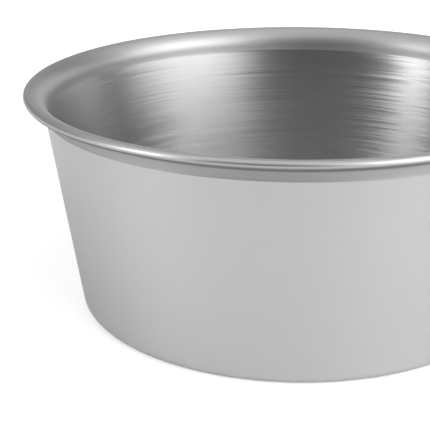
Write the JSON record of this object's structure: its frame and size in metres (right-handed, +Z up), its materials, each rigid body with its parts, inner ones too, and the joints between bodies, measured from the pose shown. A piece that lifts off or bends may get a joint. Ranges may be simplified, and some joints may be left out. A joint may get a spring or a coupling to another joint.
{
  "type": "candle tin",
  "caption": "Shallow round drawn-sheet candle tin with a gently tapered wall, flared lip and rolled bead, with a wick held upright by a tab on a round sticker.",
  "frame": {"origin": "middle of the underside of the base", "axes": "+Z up along the axis of the cup, out of its mouth; +X and +Y level"},
  "size_m": [0.09, 0.09, 0.0373],
  "materials": {
    "brushed_stainless": "satin outside, brushed round the inside, bead polished",
    "bright_tinplate": "bright pressed tinplate",
    "white_foam": "closed-cell foam with adhesive faces",
    "waxed_cotton": "braided cotton with a thin coat of wax"
  },
  "bodies": {
    "root": {"tin_body": "brushed_stainless", "wick_sticker": "white_foam", "wick_sustainer": "bright_tinplate", "wick": "waxed_cotton"}
  },
  "joints": []
}
